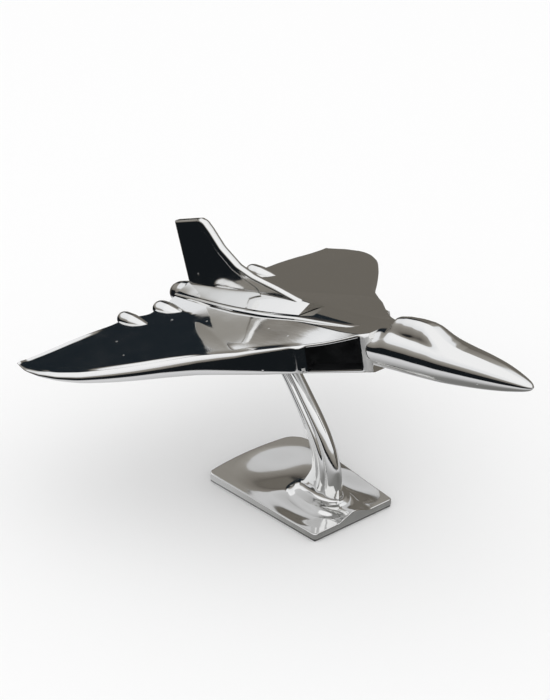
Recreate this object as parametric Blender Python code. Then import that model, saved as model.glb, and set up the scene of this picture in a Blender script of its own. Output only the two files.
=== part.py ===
"""Desk model: a cast, polished delta-wing jet that turns on a curved arm above a dished base."""

import math

import bmesh
import bpy
import numpy as np
from mathutils import Matrix, Vector

# Sizes in millimetres. +X is the nose's side, +Y the port side, +Z up, and the origin is the middle
# of the underside of the base pad. The jet's own frame has its origin on the pivot, at the belly:
# u forward, v to port, h away from the belly.
BASE_LENGTH = 93.0
BASE_WIDTH_FRONT = 61.4
BASE_WIDTH_REAR = 71.9
BASE_EDGE_FRONT = 5.3
BASE_EDGE_REAR = 6.3
BASE_CROWN = 9.2
DISH_DEPTH = 2.4
PAD_THICKNESS = 0.9
PLINTH_TOP = 8.8
FOOT_X = 19.0
PIVOT_X = -25.2
PIVOT_HEIGHT = 96.3
ARM_HEAD_RADIUS = 7.5
PITCH = math.radians(12.3)
JET_LENGTH = 312.7
SPAN = 252.4
ROOT_THICKNESS = 17.2
FIN_TOP = 65.4
FIN_HALF = 2.6
PANEL_DEPTH = 0.7
STUD_DIAMETER = 5.0
BUSH_WALL = 1.2
DOWEL_DIAMETER = 3.0
SCREW_DIAMETER = 4.0
SCREW_SPACING = 12.0
WASHER_THICKNESS = 0.8
GAP = 0.3

MM = 0.001
LONG = JET_LENGTH / 312.7
WIDE = SPAN / 252.4
LIFT = ROOT_THICKNESS - 17.2
HALF = BASE_LENGTH / 2
UNDERSIDE = PAD_THICKNESS + GAP

ALUMINIUM = ((0.83, 0.83, 0.82), 1.0, 0.12)
STEEL = ((0.55, 0.55, 0.57), 1.0, 0.3)
NYLON = ((0.85, 0.84, 0.8), 0.0, 0.5)
FELT = ((0.03, 0.03, 0.03), 0.0, 0.95)

for old in list(bpy.data.objects):
    bpy.data.objects.remove(old, do_unlink=True)


def add(name, points, faces):
    """A mesh object from points in millimetres, with its normals out."""
    mesh = bpy.data.meshes.new(name)
    mesh.from_pydata([tuple(c * MM for c in p) for p in points], [], faces)
    work = bmesh.new()
    work.from_mesh(mesh)
    bmesh.ops.remove_doubles(work, verts=work.verts, dist=1e-6)
    bmesh.ops.recalc_face_normals(work, faces=work.faces)
    if work.calc_volume(signed=True) < 0:
        bmesh.ops.reverse_faces(work, faces=work.faces)
    work.to_mesh(mesh)
    work.free()
    obj = bpy.data.objects.new(name, mesh)
    bpy.context.collection.objects.link(obj)
    return obj


def finish(obj, look, degrees=35, parent=None):
    """Gives a finished sub-part its own material, its shading and, on the jet, its turning parent."""
    colour, metallic, roughness = look
    made = bpy.data.materials.new(obj.name + "_finish")
    made.use_nodes = True
    shader = made.node_tree.nodes["Principled BSDF"]
    shader.inputs["Base Color"].default_value = (*colour, 1)
    shader.inputs["Metallic"].default_value = metallic
    shader.inputs["Roughness"].default_value = roughness
    obj.data.materials.clear()
    obj.data.materials.append(made)
    obj.data.shade_smooth()
    obj.data.set_sharp_from_angle(angle=math.radians(degrees))
    obj.parent = parent


def loft(name, rings, level_ends=False):
    """Joins rings of equal count and closes both ends, level by level where an end isn't flat."""
    count = len(rings[0])
    points = [p for ring in rings for p in ring]
    last = (len(rings) - 1) * count
    faces = []
    half = count // 2
    for start in (0, last):
        if not level_ends:
            faces.append(tuple(range(start, start + count)))
            continue
        for i in range(half // 2):
            faces.append((start + i, start + i + 1, start + half - i - 1, start + half - i))
            a, b = (count - i) % count, count - i - 1
            faces.append((start + a, start + b, start + half + i + 1, start + half + i))
    for i in range(len(rings) - 1):
        a, b = i * count, (i + 1) * count
        for j in range(count):
            k = (j + 1) % count
            faces.append((a + j, a + k, b + k, b + j))
    return add(name, points, [tuple(dict.fromkeys(f)) for f in faces])


def hull(name, rings, level_ends=False):
    """A loft of rings drawn at the jet's drawn length, stretched along u to its real length."""
    return loft(name, [[(u * LONG, v, h) for u, v, h in ring] for ring in rings], level_ends)


def boolean(obj, other, operation):
    """Joins or cuts, applies the result, and removes the second object."""
    step = obj.modifiers.new(operation, "BOOLEAN")
    step.operation = operation
    step.solver = "EXACT"
    step.object = other
    bpy.context.view_layer.update()
    graph = bpy.context.evaluated_depsgraph_get()
    made = bpy.data.meshes.new_from_object(obj.evaluated_get(graph))
    obj.modifiers.clear()
    obj.data = made
    bpy.data.objects.remove(other, do_unlink=True)


def ellipse_ring(u, v0, h0, rv, rh, count=20):
    turns = [2 * math.pi * i / count for i in range(count)]
    return [(u, v0 + rv * math.cos(a), h0 + rh * math.sin(a)) for a in turns]


def rod(name, radius, low, high, at=(0, 0), count=20, inner=0.0):
    """A round bar along Z, or a tube when it has an inner radius."""
    turns = [2 * math.pi * (i + 0.37) / count for i in range(count)]
    outer = [(at[0] + radius * math.cos(a), at[1] + radius * math.sin(a)) for a in turns]
    if inner <= 0:
        return loft(name, [[(x, y, low) for x, y in outer], [(x, y, high) for x, y in outer]])
    hole = [(at[0] + inner * math.cos(a), at[1] + inner * math.sin(a)) for a in turns]
    points = [(x, y, z) for z in (low, high) for loop in (outer, hole) for x, y in loop]
    faces = []
    for j in range(count):
        k = (j + 1) % count
        a, b, c, d = 0, count, 2 * count, 3 * count
        faces += [(a + j, a + k, c + k, c + j), (b + k, b + j, d + j, d + k)]
        faces += [(a + k, a + j, b + j, b + k), (c + j, c + k, d + k, d + j)]
    return add(name, points, faces)


def curve(x, xs, ys):
    """Smooth interpolation through a short table of sizes, with no overshoot."""
    xs, ys = np.asarray(xs, float), np.asarray(ys, float)
    if x <= xs[0]:
        return float(ys[0])
    if x >= xs[-1]:
        return float(ys[-1])
    d = np.diff(ys) / np.diff(xs)
    slope = np.zeros(len(xs))
    for i in range(1, len(xs) - 1):
        if d[i - 1] * d[i] > 0:
            slope[i] = 2 * d[i - 1] * d[i] / (d[i - 1] + d[i])
    slope[0], slope[-1] = d[0], d[-1]
    i = int(np.searchsorted(xs, x)) - 1
    w = xs[i + 1] - xs[i]
    t = (x - xs[i]) / w
    start = ys[i] * (1 + 2 * t) * (1 - t) ** 2 + w * slope[i] * t * (1 - t) ** 2
    end = ys[i + 1] * t * t * (3 - 2 * t) + w * slope[i + 1] * t * t * (t - 1)
    return float(start + end)


def ramp(x, start, end):
    """0 before start, 1 after end, straight between."""
    return min(1.0, max(0.0, (x - start) / (end - start)))


# The jet turns on this empty: its Z axis is the pivot's axis, square to the belly.
swivel_axis = bpy.data.objects.new("swivel_axis", None)
swivel_axis.location = (PIVOT_X * MM, 0, PIVOT_HEIGHT * MM)
swivel_axis.rotation_euler = (0, -PITCH, 0)
bpy.context.collection.objects.link(swivel_axis)
JET = Matrix.Translation(swivel_axis.location) @ Matrix.Rotation(-PITCH, 4, "Y")

# ---------------------------------------------------------------- wing body
# Half span along the leading edge, from the intake's inner corner to the blunt wing tip, the
# scalloped trailing edge, the flat wing's height, and the root's swelling above it.
EDGE_U = (-96, -80, -65.5, -52.2, -39.2, -26.1, -13.7, -3.3, 10.1, 27.5, 44.9, 65.8, 99.5)
EDGE_V = (121, 125.7, 126.2, 123.2, 116.6, 105.4, 93.5, 82.7, 69.9, 58.6, 47.4, 32.0, 10.8)
TRAIL_V = (0, 14, 24, 31, 38, 44, 50, 60, 70, 88, 105, 121, 127)
TRAIL_U = (-80, -79, -78, -76, -71, -75, -81, -80, -83, -88, -92, -95.5, -96)
TOP_V = (0, 32, 47, 58.6, 70, 83, 93.5, 105, 116, 127)
TOP_H = (13.8, 13.7, 13.5, 12.2, 10.2, 8.4, 7.4, 7.2, 7.9, 9.0)
ROOT_U, ROOT_WIDTH = (-80, -45, -6, 25, 66, 99.5), (22, 26, 39, 51, 44, 40)
SWELL_U, SWELL_H = (-80, -45, 25, 99.5), (2.6, 3.6, 7.2, 7.2)
WING_END = (99.5, -95.5)


def top_height(u, v):
    v = abs(v) / WIDE
    root = curve(u, ROOT_U, ROOT_WIDTH)
    high = curve(v, TOP_V, TOP_H) + LIFT
    high += curve(u, SWELL_U, SWELL_H) * ramp(v, root, 13) ** 1.25
    high += 2.0 * ramp(u, -10, 25) * ramp(v, 30, 44) * ramp(v, 70, 56)
    high += 2.2 * ramp(u, 74, 99.5) ** 1.5
    return high - 2.4 * ramp(u, -60, -96) * ramp(v, 60, 110)


def bottom_height(u, v):
    v = abs(v) / WIDE
    return 2.4 * max(0.0, (v - 90) / 36) ** 2 + 3.0 * max(0.0, (-35 - u) / 60) ** 1.5 * min(1, v / 60)


def wing_ring(r, top_count=12, arc_count=7):
    """One cross-section: over the top from port to starboard, round the edge, and back below."""
    u0 = WING_END[0] + (WING_END[1] - WING_END[0]) * r
    boxy = 0.35 + 0.65 * ramp(u0, 60, -10)
    round_v = 1.6 + 1.6 * ramp(u0, 62, 50)
    flat = curve(u0, EDGE_U, EDGE_V) * WIDE - round_v
    warp = ramp(r, 0.62, 1.0) ** 2

    def place(v):
        return u0 + warp * (curve(abs(v) / WIDE, TRAIL_V, TRAIL_U) - WING_END[1])

    columns = [flat * math.sin(math.pi / 2 * i / top_count) for i in range(top_count)]
    half = [(place(v), v, top_height(place(v), v)) for v in columns]
    high, low = top_height(place(flat), flat), bottom_height(place(flat), flat)
    for i in range(arc_count):
        a = math.pi / 2 - math.pi * i / (arc_count - 1)
        v = flat + round_v * max(0.0, math.cos(a)) ** boxy
        s = math.copysign(abs(math.sin(a)) ** boxy, math.sin(a))
        half.append((place(v), v, (high + low) / 2 + (high - low) / 2 * s))
    half += [(place(v), v, bottom_height(place(v), v)) for v in reversed(columns)]
    return half + [(u, -v, h) for u, v, h in half[1:-1]][::-1]


stations = [0, 0.04, 0.08, 0.12, 0.16, 0.2, 0.24, 0.3, 0.36, 0.42, 0.47, 0.52, 0.57, 0.62, 0.66,
            0.7, 0.74, 0.78, 0.82, 0.86, 0.9, 0.94, 0.97, 1.0]
airframe = hull("airframe", [wing_ring(r) for r in stations], level_ends=True)

# ---------------------------------------------------------------- nose and cockpit: u, h of the middle, radius
NOSE = (
    (213.6, 10.4, 0.4), (212.2, 10.5, 1.7), (208, 10.9, 3.4), (202, 11.4, 5.1), (191, 12.1, 7.7),
    (178, 12.6, 9.7), (165.7, 13.0, 11.2), (149.3, 13.5, 12.8), (133, 13.8, 13.3), (116, 14.0, 13.4),
    (99, 13.8, 13.3), (80, 11.5, 11.0), (50, 9.5, 9.0), (20, 9.0, 8.0),
)
boolean(airframe, hull("nose", [ellipse_ring(u, 0, h, r * 1.06, r * 0.97) for u, h, r in NOSE]), "UNION")
CANOPY = ((149, 24.0, 0.5, 0.5), (146, 25.0, 3.0, 2.6), (140, 25.6, 5.6, 5.2), (132, 26.0, 7.2, 7.4),
          (122, 26.0, 7.6, 8.0), (112, 25.0, 6.6, 6.6), (104, 23.0, 4.6, 4.4), (98, 21, 1.0, 1.0))
boolean(airframe, hull("canopy", [ellipse_ring(u, 0, h, a, b, 14) for u, h, a, b in CANOPY]), "UNION")

# ---------------------------------------------------------------- ridge that carries the fin casting
SEAT_U, SEAT_H = (-80, 37), (17.8, 22.6)


def seat(u):
    return curve(u, SEAT_U, SEAT_H) + LIFT


RIDGE = ((-79.6, 13, 0), (-50, 12.6, 0), (-16, 12.2, 0), (10, 12.6, 0), (24, 12.0, 0), (40, 8.8, 0.2),
         (58, 4.6, 1.6), (77, 0.5, 3.4))
rings = []
for u, wide, drop in RIDGE:
    top = seat(u) - drop
    flat = max(wide - 1.4, 0.2)
    half = [(u, wide + 1.2, 8), (u, wide, top - 1.2), (u, flat, top)]
    rings.append(half + [(u, -v, h) for u, v, h in reversed(half)])
boolean(airframe, hull("ridge", rings), "UNION")

# ---------------------------------------------------------------- four jet pipes in the wing root
PIPE = ((0, 1.4), (0.9, 3.0), (2.6, 4.3), (6, 5.0), (14, 4.9), (22, 3.6), (30, 1.6))
for side in (1, -1):
    for v, u_end, fat in ((50, -87, 1.0), (25.5, -83, 1.15)):
        rings = [ellipse_ring(u_end + d, side * v * WIDE, 12.6 - d * 0.05 + LIFT / 2, r * fat, r, 12) for d, r in PIPE]
        boolean(airframe, hull("pipe", rings), "UNION")

# Both intakes are blind recesses behind the swept mouth.
MOUTH_IN, MOUTH_OUT = (96.6, 12.8), (68.6, 30.4)
for side in (1, -1):
    front = [(MOUTH_IN[0] + 4, MOUTH_IN[1] + 6.4), (MOUTH_OUT[0] + 4, MOUTH_OUT[1] + 6.4)]
    back = [(MOUTH_OUT[0] - 12, MOUTH_OUT[1] - 1.6), (MOUTH_IN[0] - 12, MOUTH_IN[1] + 1.0)]
    heights = ((2.2, 18.6), (2.2, 13.8), (4.0, 12.6), (4.0, 14.4))
    corners = [(u, side * v * WIDE, low, high + LIFT) for (u, v), (low, high) in zip(front + back, heights)]
    rings = [[(u, v, low) for u, v, low, _ in corners], [(u, v, high) for u, v, _, high in corners]]
    boolean(airframe, hull("recess", rings), "DIFFERENCE")

BUSH_RADIUS = STUD_DIAMETER / 2 + GAP + BUSH_WALL
STUD_TOP = 11.0
boolean(airframe, rod("bore", BUSH_RADIUS + GAP, -5, STUD_TOP + 0.5), "DIFFERENCE")
DOWELS = (("dowel_front", 6 * LONG, 26.0 + LIFT), ("dowel_rear", -58 * LONG, 23.4 + LIFT))
DOWEL_FOOT = 11.4
for _, u, _ in DOWELS:
    hole = rod("dowel_bore", DOWEL_DIAMETER / 2 + GAP, DOWEL_FOOT - 0.4, 40, at=(u, 0), count=12)
    boolean(airframe, hole, "DIFFERENCE")
finish(airframe, ALUMINIUM, parent=swivel_axis)

# ---------------------------------------------------------------- fin casting: tail end, dorsal spine and blade
TAIL = ((-99, 1.2), (-98.2, 3.4), (-96, 5.6), (-92.5, 7.2), (-87, 8.2), (-80.5, 8.6))
rings = [ellipse_ring(u, 0, 12.4 + LIFT, r, r * 0.98) for u, r in TAIL]
SPINE = ((-80.4, 8.8, 21.2), (-70, 9.6, 21.8), (-52, 10.6, 23.0), (-34, 10.2, 24.4), (-16, 8.6, 26.0),
         (4, 6.6, 27.0), (20, 5.0, 27.4), (36, 3.4, 27.6), (40, 2.4, 23.8))
for u, wide, top in SPINE:
    low = seat(u) + GAP
    ring = []
    for i in range(20):
        c, s = math.cos(2 * math.pi * i / 20), math.sin(2 * math.pi * i / 20)
        ring.append((u, wide * math.copysign(abs(c) ** 0.8, c), low + (top + LIFT - low) * max(0.0, s) ** 0.9))
    rings.append(ring)
fin = hull("tail_fin", rings)
BLADE = ((-79.6, 20), (-85, 59.2), (-84, 60.6), (-56, 65.4), (-53.6, 64.6), (-48.1, 60), (-39.6, 50.3),
         (-26.2, 41), (-12, 36.3), (8.5, 32.7), (36.0, 28.1), (35.6, 24.6), (-20, 20.8))
PANEL = ((-77.4, 25.6), (-81.8, 58.0), (-58.5, 62.2), (-51.5, 56.5), (-43, 47.0), (-31, 38.0), (-24.5, 32.5),
         (-27, 29.4))
BLADE_FOOT = 20.0


def blade_height(h):
    """The drawn height above the blade's foot, stretched so that the tip reaches FIN_TOP."""
    return LIFT + BLADE_FOOT + (h - BLADE_FOOT) * (FIN_TOP - BLADE_FOOT) / (BLADE[3][1] - BLADE_FOOT)


def plate(name, outline, levels):
    """The outline repeated at each v, each time drawn in towards its middle by a share."""
    middle_u, middle_h = np.mean(outline, axis=0)
    rings = []
    for v, share in levels:
        inward = [(u + (middle_u - u) * share, h + (middle_h - h) * share) for u, h in outline]
        rings.append([(u, v, blade_height(h)) for u, h in inward])
    return hull(name, rings)


shy = FIN_HALF - PANEL_DEPTH
boolean(fin, plate("blade", BLADE, ((FIN_HALF, 0.02), (shy, 0), (-shy, 0), (-FIN_HALF, 0.02))), "UNION")
for side in (1, -1):
    boolean(fin, plate("panel", PANEL, ((side * shy, 0), (side * (FIN_HALF + 3), 0))), "DIFFERENCE")
for _, u, high in DOWELS:
    hole = rod("dowel_bore", DOWEL_DIAMETER / 2 + GAP, 5, high + 0.8, at=(u, 0), count=12)
    boolean(fin, hole, "DIFFERENCE")
finish(fin, ALUMINIUM, parent=swivel_axis)
for name, u, high in DOWELS:
    finish(rod(name, DOWEL_DIAMETER / 2, DOWEL_FOOT, high, at=(u, 0), count=12), STEEL, parent=swivel_axis)

# ---------------------------------------------------------------- pivot: stud, friction bush, washer
STUD_FOOT = -9.0
HEAD_DROP = 1.4
stud = rod("pivot_stud", STUD_DIAMETER / 2, STUD_FOOT, STUD_TOP)
stud.matrix_world = JET
finish(stud, STEEL)
bush = rod("friction_bush", BUSH_RADIUS, 0.4, STUD_TOP - 0.6, inner=STUD_DIAMETER / 2 + GAP)
finish(bush, NYLON, parent=swivel_axis)
washer = rod("swivel_washer", ARM_HEAD_RADIUS - 0.1, GAP - HEAD_DROP, -GAP, count=28, inner=STUD_DIAMETER / 2 + GAP)
washer.matrix_world = JET
finish(washer, NYLON)

# ---------------------------------------------------------------- arm
# Each station: share of the way back from foot to pivot, share of the way up from plinth to
# pivot, half size fore and aft, half size across.
PATH = (
    (0.0, 0.0, 17.5, 9.2), (-0.005, 0.0206, 15.8, 8.6), (-0.0226, 0.0537, 12.4, 7.6), (-0.041, 0.111, 9.7, 6.6),
    (-0.045, 0.1966, 8.6, 6.1), (0.0, 0.311, 8.4, 6.0), (0.0995, 0.425, 8.0, 5.9), (0.244, 0.534, 7.6, 5.7),
    (0.416, 0.637, 7.2, 5.5), (0.611, 0.747, 6.8, 5.3), (0.783, 0.8366, 6.6, 5.3), (0.896, 0.8983, 6.8, 5.8),
)
FOOT_TOP = PLINTH_TOP + GAP
PIVOT = Vector((PIVOT_X, 0, PIVOT_HEIGHT))
down = Vector((math.sin(PITCH), 0, -math.cos(PITCH)))
middles = []
for back, up, _, _ in PATH:
    x = FOOT_X + (PIVOT_X - FOOT_X) * back
    middles.append(Vector((x, 0, FOOT_TOP + (PIVOT_HEIGHT - FOOT_TOP) * up)))
middles += [PIVOT + down * (HEAD_DROP + 3.2), PIVOT + down * HEAD_DROP]
halves = [(a, b) for _, _, a, b in PATH]
halves += [(ARM_HEAD_RADIUS - 0.3, ARM_HEAD_RADIUS - 0.9), (ARM_HEAD_RADIUS, ARM_HEAD_RADIUS)]
rings = []
for i, (middle, (long_half, wide_half)) in enumerate(zip(middles, halves)):
    lean = (middles[min(i + 1, len(middles) - 1)] - middles[max(i - 1, 0)]).normalized()
    if i < 4:
        lean = Vector((0, 0, 1))
    if i >= len(PATH):
        lean = -down
    fore = Vector((lean.z, 0, -lean.x)) * long_half
    across = Vector((0, wide_half, 0))
    ring = []
    for j in range(24):
        a = 2 * math.pi * j / 24
        flute = 0.93 if j % 6 == 3 and 3 < i < len(PATH) else 1.0
        ring.append(tuple(middle + (fore * math.cos(a) + across * math.sin(a)) * flute))
    rings.append(ring)
arm = loft("arm", rings)
bore = rod("stud_bore", STUD_DIAMETER / 2 + GAP, STUD_FOOT - 0.6, 5)
bore.matrix_world = JET
boolean(arm, bore, "DIFFERENCE")
SCREW_TIP = PLINTH_TOP + 6.0
SCREWS = (("front", FOOT_X + SCREW_SPACING / 2), ("rear", FOOT_X - SCREW_SPACING / 2))
for _, x in SCREWS:
    hole = rod("screw_bore", SCREW_DIAMETER / 2 + GAP, 0, SCREW_TIP + 0.6, at=(x, 0), count=16)
    boolean(arm, hole, "DIFFERENCE")
finish(arm, ALUMINIUM, 50)


# ---------------------------------------------------------------- base
def outline(x, t):
    """A point of the base's plan at x, and its half width there times t, with the back edge bowed."""
    share = (HALF - x) / BASE_LENGTH
    wide = (BASE_WIDTH_FRONT * (1 - share) + BASE_WIDTH_REAR * share) / 2
    bow = -3.6 * (1 - t * t) * max(0.0, -x / HALF) ** 2
    return x + bow, wide * t


def bump(d):
    return (1 - min(1.0, d) ** 2) ** 2


def base_top(x, y):
    share = (HALF - x) / BASE_LENGTH
    rim = BASE_EDGE_FRONT * (1 - share) + BASE_EDGE_REAR * share
    dish_long, dish_wide = (HALF + 4.5) / 2, BASE_WIDTH_REAR / 2 - 5
    z = rim - DISH_DEPTH * bump(math.hypot((x - 3 + dish_long) / dish_long, y / dish_wide))
    hollow_y = BASE_WIDTH_FRONT / 2 - 12.2
    z -= 1.6 * bump(math.hypot((x - FOOT_X - 3) / 24, (abs(y) - hollow_y) / 12.5))
    z += (BASE_CROWN - rim) * bump(abs(y) / 21) * ramp(x, -6, 20) * (0.9 + 0.1 * ramp(x, 34, 38))
    from_plinth = math.hypot(max(0.0, abs(x - FOOT_X) - 10.5), y)
    step = ramp(from_plinth, 13.2, 10.0)
    step = step * step * (3 - 2 * step)
    return z * (1 - step) + PLINTH_TOP * step


half = [0, 0.12, 0.24, 0.32, 0.39, 0.5, 0.64, 0.78, 0.9, 0.965, 1]
columns = [-t for t in half[:0:-1]] + half
rows = [-1, -0.965, -0.9, -0.78, -0.64, -0.5, -0.36, -0.22, -0.1, -0.02, 0.06, 0.16, 0.3, 0.45, 0.6, 0.72,
        0.82, 0.9, 0.965, 1]
places = [(outline(r * HALF, t), r * HALF) for r in rows for t in columns]
points = [(x, y, base_top(drawn_x, y)) for (x, y), drawn_x in places]
wide, deep = len(columns), len(rows)
rim = [j for j in range(wide)] + [i * wide + wide - 1 for i in range(1, deep)]
rim += [(deep - 1) * wide + j for j in range(wide - 2, -1, -1)] + [i * wide for i in range(deep - 2, 0, -1)]
under = len(points)
points += [(*points[i][:2], UNDERSIDE) for i in rim]
faces = [tuple(range(under, len(points)))]
for i in range(deep - 1):
    for a in range(i * wide, i * wide + wide - 1):
        faces.append((a, a + 1, a + wide + 1, a + wide))
for i, a in enumerate(rim):
    k = (i + 1) % len(rim)
    faces.append((a, rim[k], under + k, under + i))
base = add("base", points, faces)
HEAD_LOW = UNDERSIDE + 0.4
HEAD_HIGH = HEAD_LOW + 2.4
WASHER_LOW = HEAD_HIGH + GAP
WASHER_RADIUS = SCREW_DIAMETER * 1.05
for _, x in SCREWS:
    hole = rod("clearance", SCREW_DIAMETER / 2 + GAP, 0, 20, at=(x, 0), count=16)
    boolean(base, hole, "DIFFERENCE")
    seat_top = WASHER_LOW + WASHER_THICKNESS + GAP
    boolean(base, rod("counterbore", WASHER_RADIUS + 0.4, 0, seat_top, at=(x, 0)), "DIFFERENCE")
finish(base, ALUMINIUM, 50)

# ---------------------------------------------------------------- fasteners and pad under the base
for name, x in SCREWS:
    screw = rod("foot_screw_" + name, SCREW_DIAMETER / 2, HEAD_HIGH - 1, SCREW_TIP, at=(x, 0), count=16)
    boolean(screw, rod("head", SCREW_DIAMETER * 0.875, HEAD_LOW, HEAD_HIGH, at=(x, 0)), "UNION")
    key = SCREW_DIAMETER * 0.425
    hexagon = [(x + key * math.cos(math.pi / 3 * i), key * math.sin(math.pi / 3 * i)) for i in range(6)]
    socket = loft("socket", [[(a, b, z) for a, b in hexagon] for z in (HEAD_LOW - 0.6, HEAD_LOW + 1.3)])
    boolean(screw, socket, "DIFFERENCE")
    finish(screw, STEEL)
    washer = rod("foot_washer_" + name, WASHER_RADIUS, WASHER_LOW, WASHER_LOW + WASHER_THICKNESS, at=(x, 0),
                 inner=SCREW_DIAMETER / 2 + GAP)
    finish(washer, STEEL)

PAD_INSET = 1.0
corners = [outline(HALF, t) for t in (-1, 1)] + [outline(-HALF, t) for t in (1, 0.6, 0.3, 0, -0.3, -0.6, -1)]
inner = [(x - math.copysign(PAD_INSET, x), y - math.copysign(min(PAD_INSET, abs(y)), y)) for x, y in corners]
finish(loft("base_pad", [[(x, y, z) for x, y in inner] for z in (0.0, PAD_THICKNESS)]), FELT)
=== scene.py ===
"""Looks of a polished cast desk jet that turns on a curved arm above a dished base."""

import math

import bmesh
import bpy
import numpy as np
from mathutils import Matrix, Vector

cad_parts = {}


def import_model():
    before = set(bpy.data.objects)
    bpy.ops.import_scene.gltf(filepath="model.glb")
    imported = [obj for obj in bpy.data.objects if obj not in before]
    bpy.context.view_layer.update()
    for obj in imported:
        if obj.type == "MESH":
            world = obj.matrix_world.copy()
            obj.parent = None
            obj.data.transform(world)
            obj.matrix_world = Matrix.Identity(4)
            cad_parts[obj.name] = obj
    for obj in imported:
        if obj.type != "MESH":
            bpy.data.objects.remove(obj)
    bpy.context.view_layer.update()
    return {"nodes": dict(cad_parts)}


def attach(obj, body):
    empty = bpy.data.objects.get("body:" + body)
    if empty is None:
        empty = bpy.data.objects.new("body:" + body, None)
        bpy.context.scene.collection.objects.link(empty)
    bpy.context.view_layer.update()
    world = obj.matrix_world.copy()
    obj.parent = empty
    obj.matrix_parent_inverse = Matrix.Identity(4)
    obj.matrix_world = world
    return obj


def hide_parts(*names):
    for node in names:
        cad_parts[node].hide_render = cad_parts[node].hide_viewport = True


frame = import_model()
nodes = frame["nodes"]

# ------------------------------------------------------------------ felt pad
# Pressed black felt, cut to the shape of the base and glued under it, a millimetre in from
# the edge. Its cut side shows as the dark line that the base seems to float on.
felt = bpy.data.materials.new("pressed_felt")
felt.use_nodes = True
tree = felt.node_tree
skin = tree.nodes["Principled BSDF"]
where = tree.nodes.new("ShaderNodeTexCoord")
fibres = tree.nodes.new("ShaderNodeTexNoise")
fibres.inputs["Scale"].default_value = 2600
fibres.inputs["Detail"].default_value = 4
tree.links.new(where.outputs["Object"], fibres.inputs["Vector"])
tint = tree.nodes.new("ShaderNodeValToRGB")
tint.color_ramp.elements[0].color = (0.006, 0.006, 0.006, 1)
tint.color_ramp.elements[1].color = (0.035, 0.034, 0.033, 1)
tree.links.new(fibres.outputs["Fac"], tint.inputs["Fac"])
tree.links.new(tint.outputs["Color"], skin.inputs["Base Color"])
skin.inputs["Roughness"].default_value = 0.95
skin.inputs["Sheen Weight"].default_value = 0.4
nap = tree.nodes.new("ShaderNodeBump")
nap.inputs["Strength"].default_value = 0.5
nap.inputs["Distance"].default_value = 0.0002
tree.links.new(fibres.outputs["Fac"], nap.inputs["Height"])
tree.links.new(nap.outputs["Normal"], skin.inputs["Normal"])


def mesh_piece(name, points, faces, finish, body, sharp=None):
    """A finished piece from points in millimetres, smooth shaded, riding on its body."""
    mesh = bpy.data.meshes.new(name)
    points = np.asarray(points, float) * 0.001
    faces = [tuple(dict.fromkeys(f)) for f in faces]
    mesh.from_pydata(points.tolist(), [], [f for f in faces if len(f) > 2])
    work = bmesh.new()
    work.from_mesh(mesh)
    bmesh.ops.remove_doubles(work, verts=work.verts, dist=1e-6)
    bmesh.ops.recalc_face_normals(work, faces=work.faces)
    if work.calc_volume(signed=True) < 0:
        bmesh.ops.reverse_faces(work, faces=work.faces)
    work.to_mesh(mesh)
    work.free()
    mesh.shade_smooth()
    if sharp:
        mesh.set_sharp_from_angle(angle=math.radians(sharp))
    mesh.materials.append(finish)
    piece = bpy.data.objects.new(name, mesh)
    bpy.context.scene.collection.objects.link(piece)
    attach(piece, body)
    return piece


def finish_of(node, finish):
    nodes[node].data.materials.clear()
    nodes[node].data.materials.append(finish)


finish_of("base_pad", felt)

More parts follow.
